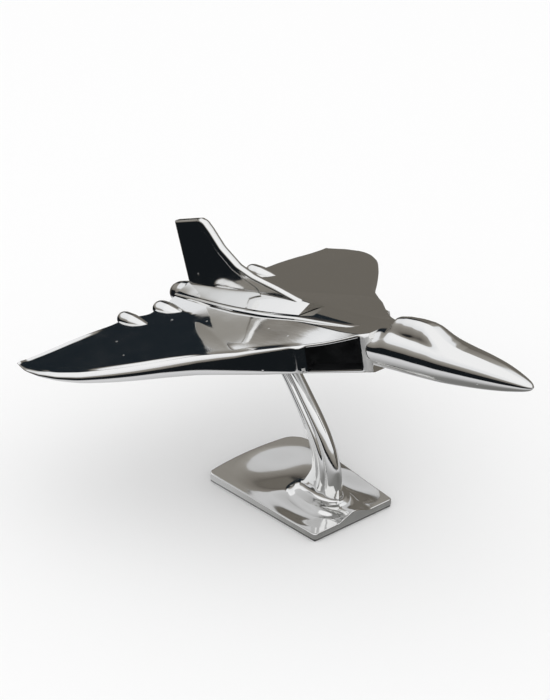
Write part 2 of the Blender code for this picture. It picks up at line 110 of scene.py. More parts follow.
# ------------------------------------------------------------------ base
# Cast aluminium wedge, wider at the back, ground and buffed to a mirror on top and left
# satin on its sides. A low plinth takes the arm's foot; a dish lies behind it and a hollow
# on each side.
def cast_metal(name, roughness, ripple_depth, grit_depth, pitted):
    """Buffed casting: slow waves left by the buffing wheel, fine scratches and a few pits."""
    made = bpy.data.materials.new(name)
    made.use_nodes = True
    tree = made.node_tree
    metal = tree.nodes["Principled BSDF"]
    metal.inputs["Base Color"].default_value = (0.87, 0.87, 0.86, 1)
    metal.inputs["Metallic"].default_value = 1.0
    where = tree.nodes.new("ShaderNodeTexCoord")
    waves = tree.nodes.new("ShaderNodeTexNoise")
    waves.inputs["Scale"].default_value = 34
    waves.inputs["Detail"].default_value = 1.5
    waves.inputs["Roughness"].default_value = 0.45
    grit = tree.nodes.new("ShaderNodeTexNoise")
    grit.inputs["Scale"].default_value = 1400
    grit.inputs["Detail"].default_value = 3
    cloud = tree.nodes.new("ShaderNodeTexNoise")
    cloud.inputs["Scale"].default_value = 90
    cloud.inputs["Detail"].default_value = 5
    strokes = tree.nodes.new("ShaderNodeTexNoise")
    strokes.inputs["Scale"].default_value = 190
    strokes.inputs["Detail"].default_value = 2
    lengthwise = tree.nodes.new("ShaderNodeMapping")
    lengthwise.inputs["Scale"].default_value = (0.22, 1, 1)
    tree.links.new(where.outputs["Object"], lengthwise.inputs["Vector"])
    for texture in (waves, strokes):
        tree.links.new(lengthwise.outputs["Vector"], texture.inputs["Vector"])
    for texture in (grit, cloud):
        tree.links.new(where.outputs["Object"], texture.inputs["Vector"])
    haze = tree.nodes.new("ShaderNodeMapRange")
    haze.inputs["From Min"].default_value = 0.35
    haze.inputs["From Max"].default_value = 0.75
    haze.inputs["To Min"].default_value = roughness
    haze.inputs["To Max"].default_value = roughness * 2.2
    tree.links.new(cloud.outputs["Fac"], haze.inputs["Value"])
    tree.links.new(haze.outputs["Result"], metal.inputs["Roughness"])
    last = None
    for texture, depth in ((waves, ripple_depth), (strokes, ripple_depth / 14), (grit, grit_depth)):
        dent = tree.nodes.new("ShaderNodeBump")
        dent.inputs["Strength"].default_value = 1.0
        dent.inputs["Distance"].default_value = depth
        tree.links.new(texture.outputs["Fac"], dent.inputs["Height"])
        if last:
            tree.links.new(last.outputs["Normal"], dent.inputs["Normal"])
        last = dent
    if pitted:
        cells = tree.nodes.new("ShaderNodeTexVoronoi")
        cells.inputs["Scale"].default_value = 75
        tree.links.new(where.outputs["Object"], cells.inputs["Vector"])
        pit = tree.nodes.new("ShaderNodeMapRange")
        pit.inputs["From Min"].default_value = 0.03
        pit.inputs["From Max"].default_value = 0.055
        tree.links.new(cells.outputs["Distance"], pit.inputs["Value"])
        dent = tree.nodes.new("ShaderNodeBump")
        dent.inputs["Strength"].default_value = 0.8
        dent.inputs["Distance"].default_value = 0.0002
        tree.links.new(pit.outputs["Result"], dent.inputs["Height"])
        tree.links.new(last.outputs["Normal"], dent.inputs["Normal"])
        last = dent
    tree.links.new(last.outputs["Normal"], metal.inputs["Normal"])
    return made


cast = cast_metal("mirror_cast_aluminium", 0.045, 0.00022, 0.000004, True)
base_cast = cast_metal("buffed_base_casting", 0.055, 0.00045, 0.000006, False)
satin = cast_metal("satin_cast_side", 0.3, 0.0002, 0.00003, False)
HALF, FRONT_HALF, REAR_HALF, BACK_BOW = 46.5, 30.7, 35.95, 3.6
FRONT_RIM, REAR_RIM, CREST_TOP = 5.3, 6.3, 9.2
FOOT_X, PLINTH_TOP, UNDERSIDE = 19.0, 8.8, 1.2
DISH_DEPTH, HOLLOW_DEPTH = 2.4, 1.9


def ramp(x, start, end):
    """0 before start, 1 after end, straight between."""
    return np.clip((np.asarray(x, float) - start) / (end - start), 0, 1)


def soft(x, start, end):
    t = ramp(x, start, end)
    return t * t * (3 - 2 * t)


def bump(d):
    return (1 - np.clip(d, 0, 1) ** 2) ** 2


def base_height(x, y):
    share = (HALF - x) / (2 * HALF)
    rim = FRONT_RIM * (1 - share) + REAR_RIM * share
    z = rim - DISH_DEPTH * bump(np.hypot((x + 22.5) / 25.5, y / 31))
    z = z - HOLLOW_DEPTH * bump(np.hypot((x - 19) / 25, (np.abs(y) - 20.5) / 13.5))
    crest = (CREST_TOP - rim) * bump(np.abs(y) / 14) * soft(x, -4, 24)
    z = z + crest * (0.86 + 0.14 * soft(x, 34, 44))
    reach = np.hypot(np.maximum(0, np.abs(x - FOOT_X) - 8.0), y)
    step = soft(reach, 18, 10.5)
    return z * (1 - step) + PLINTH_TOP * step


def base_outline(inset):
    """Points round the base, with rounded corners and the bowed back edge."""
    loop = []
    corners = ((HALF, -FRONT_HALF, -90, 2.6), (HALF, FRONT_HALF, 0, 2.6),
               (-HALF, REAR_HALF, 90, 11.0), (-HALF, -REAR_HALF, 180, 3.2))
    for cx, cy, start, corner in corners:
        sx, sy = math.copysign(corner, cx), math.copysign(corner, cy)
        arc = [math.radians(start + 6 * k) for k in range(16)]
        loop.append([(cx - sx + (corner - inset) * math.cos(a), cy - sy + (corner - inset) * math.sin(a))
                     for a in arc])
    points = []
    for arc, after in zip(loop, loop[1:] + loop[:1]):
        (ax, ay), (bx, by) = arc[-1], after[0]
        points += arc + [(ax + (bx - ax) * k / 90, ay + (by - ay) * k / 90) for k in range(1, 90)]
    points = np.array(points)
    bowed = np.clip(1 - (points[:, 1] / 36) ** 2, 0, 1)
    points[:, 0] -= BACK_BOW * bowed * np.clip(-points[:, 0] / HALF, 0, 1) ** 2
    return points


def rings_to_faces(rows, count, ends=True):
    """Quads between rows of equal count, and a cap at each end."""
    faces = []
    for i in range(rows - 1):
        for j in range(count):
            k = (j + 1) % count
            faces.append((i * count + j, i * count + k, (i + 1) * count + k, (i + 1) * count + j))
    if ends:
        faces.append(tuple(range(count)))
        faces.append(tuple(range((rows - 1) * count, rows * count)))
    return faces


EDGE_ROUND = 0.8
rings = []
edge = base_outline(EDGE_ROUND)
for share in np.concatenate([[0.02], np.linspace(0.05, 1, 150)]):
    x, y = FOOT_X + (edge[:, 0] - FOOT_X) * share, edge[:, 1] * share
    rings.append(np.stack([x, y, base_height(x, y)], 1))
for k in range(1, 9):
    a = math.pi / 2 * k / 8
    ring = base_outline(EDGE_ROUND * (1 - math.sin(a)))
    z = base_height(edge[:, 0], edge[:, 1]) - EDGE_ROUND * (1 - math.cos(a))
    rings.append(np.stack([ring[:, 0], ring[:, 1], z], 1))
ring = base_outline(0)
top = rings[-1][:, 2]
for k in range(1, 9):
    rings.append(np.stack([ring[:, 0], ring[:, 1], top + (UNDERSIDE + 0.5 - top) * k / 8], 1))
for inset, z in ((0.15, UNDERSIDE + 0.2), (0.5, UNDERSIDE)):
    ring = base_outline(inset)
    rings.append(np.stack([ring[:, 0], ring[:, 1], np.full(len(ring), z)], 1))
faces = rings_to_faces(len(rings), len(edge))
base = mesh_piece("base_casting", np.concatenate(rings), faces, base_cast, "stand", 60)
base.data.materials.append(satin)
lean = np.array([p.normal.z for p in base.data.polygons])
low = np.array([p.center.z for p in base.data.polygons])
base.data.polygons.foreach_set("material_index", ((np.abs(lean) < 0.2) & (low < 0.009)).astype(int))
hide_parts("base")

# ------------------------------------------------------------------ arm
# One aluminium casting that rises from its foot, sweeps back and up, and ends in a round
# head square to the belly. Flutes run down both sides, ground in before polishing.
PITCH = math.radians(12.3)
PIVOT = Vector((-25.2, 0, 96.3))
down = Vector((math.sin(PITCH), 0, -math.cos(PITCH)))
head = PIVOT + down * 1.4
neck = head + down * 3.2
# Each station: x and z of the centre line, then half the depth and half the thickness.
STATIONS = (
    (18.0, 8.6, 20.0, 14.0), (18.1, 9.0, 18.2, 11.8), (18.3, 9.9, 16.4, 9.8), (18.9, 11.4, 15.0, 8.4),
    (20.2, 14.2, 13.6, 7.2), (21.4, 18.5, 12.6, 6.5), (21.8, 26, 11.4, 6.1), (19.7, 36, 10.1, 5.9),
    (15.0, 46, 9.0, 5.8), (8.2, 55.5, 8.0, 5.7), (0.6, 64.5, 7.2, 5.5), (-8.0, 74.2, 6.8, 5.3),
    (-15.6, 82.0, 6.6, 5.3), (-20.9, 87.6, 6.8, 5.8),
    (neck.x, neck.z, 7.2, 6.6), (head.x, head.z, 7.5, 7.5),
)


def smooth_line(at, known, values, blur):
    """A table read as one soft curve: straight runs first, then rounded over a set length."""
    fine = np.linspace(known[0], known[-1], 1500)
    step = fine[1] - fine[0]
    width = max(1, int(3 * blur / step))
    kernel = np.exp(-0.5 * (np.arange(-width, width + 1) * step / blur) ** 2)
    line = np.interp(fine, known, values)
    before = 2 * line[0] - line[1:width + 1][::-1]
    after = 2 * line[-1] - line[-width - 1:-1][::-1]
    line = np.convolve(np.concatenate([before, line, after]), kernel / kernel.sum(), "valid")
    return np.interp(at, fine, line)


table = np.array(STATIONS)
run = np.concatenate([[0], np.cumsum(np.hypot(np.diff(table[:, 0]), np.diff(table[:, 1])))])
along = np.unique(np.concatenate([np.linspace(0, 12, 70), np.linspace(12, run[-1], 170)]))
x, z = (smooth_line(along, run, table[:, c], 3.0) for c in (0, 1))
long_half, wide_half = (smooth_line(along, run, table[:, c], 0.8) for c in (2, 3))
turns = np.linspace(0, 2 * math.pi, 200, endpoint=False)
from_back = np.abs(turns - math.pi)
FLUTES = ((1.42, 0.10, 0.09), (1.98, 0.14, 0.13), (1.68, 0.10, -0.05))
rings = []
for i in range(len(along)):
    a, b = max(i - 1, 0), min(i + 1, len(along) - 1)
    lean = math.atan2(x[b] - x[a], z[b] - z[a]) * ramp(along[i], 1, 9)
    lean += (-PITCH - lean) * ramp(along[i], run[-1] - 4, run[-1])
    fade = ramp(along[i], 5, 15) * ramp(along[i], run[-1] - 3, run[-1] - 12)
    flute = 1 - fade * sum(deep * np.exp(-((from_back - at) / wide) ** 2) for at, wide, deep in FLUTES)
    fore = long_half[i] * np.cos(turns) * flute
    side = wide_half[i] * np.sin(turns) * flute
    rings.append(np.stack([x[i] + fore * math.cos(lean), side, z[i] - fore * math.sin(lean)], 1))
faces = rings_to_faces(len(rings), len(turns))
arm = mesh_piece("arm_casting", np.concatenate(rings), faces, cast, "stand", 50)
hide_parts("arm")

# ------------------------------------------------------------------ wing body
# The main casting: flat-bellied delta wing body with a swollen root, swept intakes and a
# rounded bead all round its edge. It is poured in one piece with the nose, then buffed.
to_world = Matrix.Translation(PIVOT) @ Matrix.Rotation(-PITCH, 4, "Y")
turn = np.array(to_world.to_3x3())
shift = np.array(to_world.translation)


def world(points):
    return np.asarray(points, float) @ turn.T + shift


# Tables along u (towards the nose) and v (out along the wing), in the jet's own millimetres:
# leading edge, trailing edge, thickness, width and swelling of the root, bead at the edge.
EDGE_U = (-96, -80, -65.5, -52.2, -39.2, -26.1, -13.7, -3.3, 10.1, 27.5, 44.9, 65.8, 99.5)
EDGE_V = (121, 125.7, 126.2, 123.2, 116.6, 105.4, 93.5, 82.7, 69.9, 58.6, 47.4, 32.0, 10.8)
TRAIL_V = (0, 14, 24, 31, 38, 44, 50, 60, 70, 88, 105, 121, 127)
TRAIL_U = (-80, -79, -78, -76, -71, -75, -81, -80, -83, -88, -92, -95.5, -96)
TOP_V = (-47, -32, 0, 32, 47, 58.6, 70, 83, 93.5, 105, 116, 127)
TOP_H = (13.5, 13.7, 13.8, 13.7, 13.5, 12.5, 11.5, 10.3, 9.4, 8.3, 7.3, 6.2)
ROOT_U, ROOT_WIDTH = (-80, -45, -6, 25, 45, 66, 99.5), (22, 27, 40, 52, 54, 46, 40)
LIP_V = (0, 32, 47.4, 58.6, 69.9, 82.7, 93.5, 105, 116.6, 122, 128)
LIP_H = (0, 0, 0.4, 0.3, -0.4, -0.7, -0.7, -0.3, 0.3, 0.5, 0.5)
SWELL_U, SWELL_H = (-80, -45, 25, 99.5), (2.6, 3.6, 7.2, 7.2)


def top_height(u, v):
    v = np.abs(v)
    high = smooth_line(v, TOP_V, TOP_H, 4.0)
    share = ramp(v, smooth_line(u, ROOT_U, ROOT_WIDTH, 6), 13)
    high = high + smooth_line(u, SWELL_U, SWELL_H, 6) * share ** 1.1
    high = high + 2.2 * ramp(u, 74, 99.5) ** 1.5
    high = high - 2.4 * ramp(u, -60, -96) * soft(v, 60, 110)
    return high


def rim_height(u, v, share):
    """The bead that runs round the edge, hammered up higher on the starboard wing."""
    inboard = smooth_line(u, EDGE_U, EDGE_V, 2.2) - v
    aft = u - smooth_line(v, TRAIL_V, TRAIL_U, 2.5)
    bead = smooth_line(v, LIP_V, LIP_H, 3) * np.exp(-(np.clip(inboard - 2, 0, 60) / 3.0) ** 2)
    return share * (bead + 0.8 * soft(v, 62, 95) * np.exp(-((aft + 1) / 3.0) ** 2))


def bottom_height(u, v):
    v = np.abs(v)
    raised_tip = 2.4 * np.clip((v - 90) / 36, 0, 1) ** 2
    return raised_tip + 3 * np.clip((-35 - u) / 60, 0, 1) ** 1.5 * np.clip(v / 60, 0, 1)


# The intake mouths: stretches of the leading edge pushed in behind a lip and two struts.
MOUTH_FROM, MOUTH_TO, MOUTH_DEPTH = 67.0, 94.5, 9.0
STRUTS, STRUT_PROUD = (63.5, 97.5), 1.7
WING_FRONT, WING_LENGTH = 99.5, 195
OUT_U, OUT_V = 0.53, 0.85
MOUTH_FACE, STRUT_FACE = 1, 2
rows = np.concatenate([np.linspace(0, 0.19, 76)[:-1], np.linspace(0.19, 0.94, 150)[:-1],
                       np.linspace(0.94, 1, 30)])
across = np.sin(math.pi / 2 * np.linspace(0, 1, 81)[:-1])
ARC = 33
round_turn = np.linspace(math.pi / 2, -math.pi / 2, ARC)
wide_all = smooth_line(WING_FRONT - WING_LENGTH * rows, EDGE_U, EDGE_V, 2.2)
rings, recessed = [], []
for r, wide in zip(rows, wide_all):
    u0 = WING_FRONT - WING_LENGTH * r
    boxy = 0.24 + 0.76 * ramp(u0, 62, -4) ** 0.8
    round_v = 1.6 + 1.7 * ramp(u0, 64, 16)
    warp = ramp(r, 0.62, 1.0) ** 2
    flat = wide - round_v
    v_top = across * flat
    c = np.clip(np.cos(round_turn), 0, 1) ** boxy
    s = np.sign(np.sin(round_turn)) * np.abs(np.sin(round_turn)) ** boxy
    v_arc = flat + round_v * c
    u_top, u_arc, u_edge = (u0 + warp * (smooth_line(v, TRAIL_V, TRAIL_U, 2.5) + 95.5)
                            for v in (v_top, v_arc, np.array([flat])))
    inside = soft(u0, MOUTH_FROM, MOUTH_FROM + 0.9) * soft(u0, MOUTH_TO, MOUTH_TO - 0.9)
    inside = inside * soft(np.abs(s), 0.84, 0.76)
    swell = sum(np.exp(-((u0 - at) / 1.9) ** 2) for at in STRUTS) * soft(np.abs(s), 1.0, 0.86)
    push = STRUT_PROUD * swell - MOUTH_DEPTH * inside
    halves = []
    for lip in (0.25, 1.0):
        top = np.stack([u_top, v_top, top_height(u_top, v_top) + rim_height(u_top, v_top, lip)], 1)
        high = (top_height(u_edge, np.array([flat])) + rim_height(u_edge, np.array([flat]), lip))[0]
        low = bottom_height(u_edge, np.array([flat]))[0]
        arc = np.stack([u_arc + OUT_U * push, v_arc + OUT_V * push, (high + low) / 2 + (high - low) / 2 * s], 1)
        bottom = np.stack([u_top, v_top, bottom_height(u_top, v_top)], 1)[::-1]
        halves.append(np.concatenate([top, arc, bottom]))
    strut = STRUT_FACE * (np.min(np.abs(u0 - np.array(STRUTS))) < 2.9) * (np.abs(s) < 0.93)
    plain = np.zeros(len(top))
    recessed.append(np.concatenate([plain, np.where(inside > 0.5, MOUTH_FACE, strut), plain]))
    rings.append(np.concatenate([halves[0], halves[1][1:-1][::-1] * (1, -1, 1)]))
count = len(rings[0])
half = count // 2
faces = rings_to_faces(len(rings), count, ends=False)
for start in (0, (len(rings) - 1) * count):
    for i in range(half // 2):
        faces.append((start + i, start + i + 1, start + half - i - 1, start + half - i))
        a, b = (count - i) % count, count - i - 1
        faces.append((start + a, start + b, start + half + i + 1, start + half + i))
wing = mesh_piece("wing_body", world(np.concatenate(rings)), faces, cast, "jet", 40)
# Near-black finish inside the intake mouths: painted shade standing in for the dark deep in the recess.
recess = cast_metal("intake_recess_painted_shade", 0.6, 0.0002, 0.00006, False)
recess.node_tree.nodes["Principled BSDF"].inputs["Base Color"].default_value = (0.035, 0.036, 0.038, 1)
wing.data.materials.append(recess)
wing.data.materials.append(cast_metal("filed_intake_strut", 0.42, 0.0002, 0.00002, False))
# Faces inside the mouths get a near-black rough finish, painted shade for the dark deep in the intakes, and the
# struts are filed but not buffed.
kind = {}
for ring, kinds in zip(rings, recessed):
    for point in np.nonzero(kinds > 0.5)[0]:
        for side in (1, -1):
            x, y, z = world([ring[point] * (1, side, 1)])[0]
            kind[(round(x, 2), round(y, 2), round(z, 2))] = int(kinds[point])
kinds = [kind.get(tuple(round(c * 1000, 2) for c in p.co), 0) for p in wing.data.vertices]
for face in wing.data.polygons:
    marks = [kinds[i] for i in face.vertices]
    if marks.count(MOUTH_FACE) >= 2:
        face.material_index = MOUTH_FACE
    elif marks.count(STRUT_FACE) >= 3:
        face.material_index = STRUT_FACE
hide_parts("airframe")

# ------------------------------------------------------------------ nose and cockpit
# The front of the same casting: a long rounded nose with a small raised canopy, dimpled at
# its sides, buffed along its length.
NOSE = np.array((
    (213.7, 10.4, 0.0), (213.4, 10.4, 0.9), (212.2, 10.5, 2.0), (208, 10.9, 3.7), (202, 11.4, 5.3),
    (191, 12.1, 7.8),
    (178, 12.6, 9.8), (165.7, 13.0, 11.2), (149.3, 13.5, 12.8), (133, 13.8, 13.3), (116, 14.0, 13.4),
    (99, 13.8, 13.3), (80, 11.5, 11.0), (50, 9.5, 9.0), (20, 9.0, 8.0),
))
CANOPY = np.array(((108, 0), (110, 2.6), (113, 4.9), (122, 6.4), (131.5, 7.0), (140, 6.9), (144.7, 6.0),
                   (147, 4.8), (150.3, 3.2), (155, 1.5), (161, 0.4), (167, 0)))
steps = 213.7 - 193.7 * np.linspace(0, 1, 330) ** 1.35
centre = smooth_line(-steps, -NOSE[:, 0], NOSE[:, 1], 5)
radius = np.sqrt(np.maximum(0, smooth_line(-steps, -NOSE[:, 0], NOSE[:, 2] ** 2, 3.0)))
radius[0] = 0.02
canopy = np.where((steps > 108) & (steps < 167), smooth_line(steps, CANOPY[:, 0], CANOPY[:, 1], 0.9), 0)
flatten = smooth_line(steps, (0, 80, 97, 106, 113, 220), (0.55, 0.6, 0.76, 0.82, 1.0, 1.0), 1.5)
tuck = 0.5 + 0.5 * soft(steps, 91.5, 99)
canopy_turn = smooth_line(steps, (0, 108, 136, 146, 162, 220), (0.4, 0.4, 0.5, 0.56, 0.75, 0.75), 1.5)
turns = np.linspace(0, 2 * math.pi, 180, endpoint=False)
from_top = np.abs(turns - math.pi / 2)
rings = []
for u, h, r, rise, flat, half_turn in zip(steps, centre, radius * tuck, canopy, flatten, canopy_turn):
    reach = r + max(rise, 0) * soft(from_top, 1.4 * half_turn, 0.1 * half_turn)
    reach = reach - 0.3 * np.exp(-((u - 124) / 9) ** 2 - ((from_top - 1.38 * half_turn) / 0.1) ** 2)
    reach = reach - 0.05 * np.cos(11 * turns) * ramp(u, 212, 195) * soft(from_top, 1.1, 0.8)
    upright = np.where(np.sin(turns) > 0, flat, 1.0) * np.sin(turns)
    rings.append(np.stack([np.full(180, u), 1.06 * reach * np.cos(turns), h + 0.97 * reach * upright], 1))
nose = mesh_piece("nose", world(np.concatenate(rings)), rings_to_faces(len(rings), 180), cast, "jet", 60)

# ------------------------------------------------------------------ ridge and jet pipes
# A raised tongue on the wing body carries the fin casting and runs out in a point behind the
# cockpit. Two bullet-ended jet pipes swell out of each wing root.
RIDGE = np.array(((-79.6, 13, 0), (-50, 15, 0), (-16, 17.2, 0), (10, 16.8, 0), (24, 15.4, 0), (40, 12.4, 0.1),
                  (58, 9.0, 0.5), (77, 5.0, 1.0), (83, 1.6, 1.6)))


def seat(u):
    return np.interp(u, (-80, 37), (17.8, 22.6))


steps = np.linspace(-79.6, 83, 166)
wide_at = smooth_line(steps, RIDGE[:, 0], RIDGE[:, 1], 3)
drop_at = smooth_line(steps, RIDGE[:, 0], RIDGE[:, 2], 3)
rings = []
for u, wide, drop in zip(steps, wide_at, drop_at):
    top = seat(u) - drop
    wide = max(wide, 0.25)
    side = [(wide + 0.5, 8.0), (wide + 0.5, top - 2.0), (wide + 0.2, top - 0.9),
            (wide * 0.98 - 0.1, top - 0.25), (max(wide - 1.2, wide * 0.5), top)]
    rings.append(np.array([(u, v, h) for v, h in side + [(-v, h) for v, h in side[::-1]]]))
faces = rings_to_faces(len(rings), 10)
ridge = mesh_piece("spine_ridge", world(np.concatenate(rings)), faces, cast, "jet", 25)
PIPE_HEIGHT = 12.6
PIPE = np.array(((0, 0.0), (0.35, 1.9), (1.2, 3.2), (2.8, 4.4), (6, 5.0), (14, 4.9), (22, 3.6), (30, 1.6)))
steps = 30 * np.linspace(0, 1, 80) ** 1.6
radius = np.interp(steps, PIPE[:, 0], PIPE[:, 1])
radius[8:] = smooth_line(steps, PIPE[:, 0], PIPE[:, 1], 0.8)[8:]
turns = np.linspace(0, 2 * math.pi, 72, endpoint=False)
for side, wing_side in ((1, "port"), (-1, "starboard")):
    for v, u_end, fat, place in ((50, -87, 1.0, "outer"), (25.5, -83, 1.15, "inner")):
        rings = [np.stack([np.full(72, u_end + d), side * v + fat * r * np.cos(turns),
                           PIPE_HEIGHT - 0.05 * d + r * np.sin(turns)], 1)
                 for d, r in zip(steps, np.maximum(radius, 0.02))]
        pipe = mesh_piece("jet_pipe_%s_%s" % (wing_side, place), world(np.concatenate(rings)),
                          rings_to_faces(len(rings), 72), cast, "jet", 60)

# ------------------------------------------------------------------ fin casting
# A second casting glued and doweled on the ridge: a rounded tail end and dorsal spine, and a
# tall swept fin with a sunk panel on each side.
TAIL = np.array(((-99.2, 0.02), (-99, 1.4), (-98.2, 3.4), (-96, 5.6), (-92.5, 7.2), (-87, 8.2), (-80.5, 8.6)))
SPINE = np.array(((-80.4, 9.4, 21.2), (-70, 11.6, 21.8), (-52, 13.4, 23.0), (-34, 14.6, 24.4),
                  (-16, 15.0, 26.0), (4, 14.4, 27.2), (20, 12.8, 27.6), (35, 10.4, 27.4), (37.4, 9.9, 27.0)))
turns = np.linspace(0, 2 * math.pi, 96, endpoint=False)
c, s = np.cos(turns), np.sin(turns)
rings = []
for u in -99.2 + 18.7 * np.linspace(0, 1, 50) ** 1.7:
    r = np.interp(u, TAIL[:, 0], TAIL[:, 1])
    rings.append(np.stack([np.full(96, u), r * c, 12.4 + 0.98 * r * s], 1))
for u in np.linspace(-80.4, 37.4, 150):
    wide, top = (smooth_line(u, SPINE[:, 0], SPINE[:, i], 3) for i in (1, 2))
    low = seat(u) + 0.3
    roof = 1 - (np.sqrt(c ** 2 + 0.02) - 0.1414) / 0.8685
    over = low + (top - low) * np.clip(roof, 0, 1) ** 1.1 * (s > 0)
    rings.append(np.stack([np.full(96, u), wide * c, over], 1))
faces = rings_to_faces(len(rings), 96)
spine = mesh_piece("tail_and_spine", world(np.concatenate(rings)), faces, cast, "jet", 40)
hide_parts("tail_fin")
FRONT = np.array(((20, 33), (26.0, 33), (28.4, 28), (32.7, 8.5), (36.3, -12), (41, -26.2), (50.3, -39.6),
                  (60, -48.1), (64.2, -52.6), (65.2, -54.6), (65.5, -57)))
BACK = np.array(((20, -79.6), (59.2, -85), (60.2, -84.8), (61.0, -83), (65.5, -57.2)))
PANEL = ((-95, 18), (-95, 80), (-60, 80), (-59.5, 63.0), (-51.5, 56.0), (-43, 46.5), (-31, 37.6),
         (-20, 33.2), (-10, 29.8), (-4, 24), (-20, 18))
BLADE_HALF, PANEL_DEPTH = 2.6, 0.8


def inside_distance(u, h, loop):
    """Distance to a closed outline, positive inside it."""
    nearest = np.full(np.shape(u), 1e9)
    crossings = np.zeros(np.shape(u), bool)
    for (au, ah), (bu, bh) in zip(loop, loop[1:] + loop[:1]):
        t = np.clip(((u - au) * (bu - au) + (h - ah) * (bh - ah)) / ((bu - au) ** 2 + (bh - ah) ** 2), 0, 1)
        nearest = np.minimum(nearest, np.hypot(u - au - t * (bu - au), h - ah - t * (bh - ah)))
        spans = (ah > h) != (bh > h)
        crossings ^= spans & (u < (bu - au) * (h - ah) / (bh - ah if bh != ah else 1e-9) + au)
    return np.where(crossings, nearest, -nearest)


levels = np.unique(np.concatenate([np.linspace(20, 45, 130), np.linspace(45, 59, 60),
                                   np.linspace(59, 65.45, 50)]))
front_u = smooth_line(levels, FRONT[:, 0], FRONT[:, 1], 0.5)
back_u = smooth_line(levels, BACK[:, 0], BACK[:, 1], 0.35)
shape = [(u, h) for u, h in zip(back_u, levels)] + [(u, h) for u, h in zip(front_u, levels)][::-1]
shares = (1 - np.cos(np.linspace(0, math.pi, 150))) / 2
rings = []
for h, back, front in zip(levels, back_u, front_u):
    u = back + (front - back) * shares
    d = np.maximum(inside_distance(u, np.full(150, h), shape), 0)
    d[[0, -1]] = 0
    ease = np.clip(d / 2.4, 0, 1)
    thick = BLADE_HALF * np.sqrt(1 - (1 - ease) ** 2)
    thick = thick - PANEL_DEPTH * soft(inside_distance(u, np.full(150, h), list(PANEL)), -0.2, 0.9)
    rings.append(np.concatenate([np.stack([u, thick, np.full(150, h)], 1),
                                 np.stack([u, -thick, np.full(150, h)], 1)[::-1][1:-1]]))
faces = rings_to_faces(len(rings), 298)
blade = mesh_piece("fin_blade", world(np.concatenate(rings)), faces, cast, "jet", 40)

# ------------------------------------------------------------------ fasteners and pivot
# Plain zinc-plated screws, washers, dowels and pivot stud, and a turned nylon bush and
# washer that give the swivel its grip. All are hidden once the model is together.
zinc = bpy.data.materials.new("zinc_plated_steel")
zinc.use_nodes = True
tree = zinc.node_tree
shell = tree.nodes["Principled BSDF"]
shell.inputs["Metallic"].default_value = 1.0
where = tree.nodes.new("ShaderNodeTexCoord")
spangle = tree.nodes.new("ShaderNodeTexVoronoi")
spangle.inputs["Scale"].default_value = 1500
tree.links.new(where.outputs["Object"], spangle.inputs["Vector"])
tint = tree.nodes.new("ShaderNodeValToRGB")
tint.color_ramp.elements[0].color = (0.42, 0.43, 0.46, 1)
tint.color_ramp.elements[1].color = (0.66, 0.66, 0.67, 1)
tree.links.new(spangle.outputs["Distance"], tint.inputs["Fac"])
tree.links.new(tint.outputs["Color"], shell.inputs["Base Color"])
dull = tree.nodes.new("ShaderNodeMapRange")
dull.inputs["To Min"].default_value = 0.24
dull.inputs["To Max"].default_value = 0.42
tree.links.new(spangle.outputs["Distance"], dull.inputs["Value"])
tree.links.new(dull.outputs["Result"], shell.inputs["Roughness"])
nylon = bpy.data.materials.new("turned_nylon")
nylon.use_nodes = True
tree = nylon.node_tree
shell = tree.nodes["Principled BSDF"]
shell.inputs["Roughness"].default_value = 0.5
shell.inputs["Subsurface Weight"].default_value = 0.15
where = tree.nodes.new("ShaderNodeTexCoord")
lathe = tree.nodes.new("ShaderNodeTexWave")
lathe.bands_direction = "Z"
lathe.inputs["Scale"].default_value = 900
tree.links.new(where.outputs["Object"], lathe.inputs["Vector"])
tint = tree.nodes.new("ShaderNodeValToRGB")
tint.color_ramp.elements[0].color = (0.78, 0.77, 0.72, 1)
tint.color_ramp.elements[1].color = (0.84, 0.83, 0.79, 1)
tree.links.new(lathe.outputs["Fac"], tint.inputs["Fac"])
tree.links.new(tint.outputs["Color"], shell.inputs["Base Color"])
groove = tree.nodes.new("ShaderNodeBump")
groove.inputs["Distance"].default_value = 0.00003
tree.links.new(lathe.outputs["Fac"], groove.inputs["Height"])
tree.links.new(groove.outputs["Normal"], shell.inputs["Normal"])
for node in ("foot_screw_front", "foot_screw_rear", "foot_washer_front", "foot_washer_rear", "pivot_stud",
             "dowel_front", "dowel_rear"):
    finish_of(node, zinc)
for node in ("friction_bush", "swivel_washer"):
    finish_of(node, nylon)

# ------------------------------------------------------------------ studio
# Pale table under an even white sky. What the polish mirrors is a studio: to reflected rays only, the table
# glows with a painted reflection, a pale sheet with painted shade darkest under the model and a dim room round
# it; the sky adds a dark band at eye level and a diffuser overhead.
floor = bpy.data.materials.new("pale_table_and_painted_reflection")
floor.use_nodes = True
tree = floor.node_tree
paint = tree.nodes["Principled BSDF"]
paint.inputs["Base Color"].default_value = (0.9, 0.9, 0.9, 1)
paint.inputs["Roughness"].default_value = 0.6
paint.inputs["Specular IOR Level"].default_value = 0.1
where = tree.nodes.new("ShaderNodeTexCoord")
split = tree.nodes.new("ShaderNodeSeparateXYZ")
tree.links.new(where.outputs["Object"], split.inputs["Vector"])
long_sheet = tree.nodes.new("ShaderNodeMapping")
long_sheet.inputs["Location"].default_value = (-0.08, 0, 0)
long_sheet.inputs["Scale"].default_value = (0.67, 1, 1)
tree.links.new(where.outputs["Object"], long_sheet.inputs["Vector"])
far = tree.nodes.new("ShaderNodeVectorMath")
far.operation = "LENGTH"
tree.links.new(long_sheet.outputs["Vector"], far.inputs[0])
sheet_reflection_ramp = tree.nodes.new("ShaderNodeValToRGB")
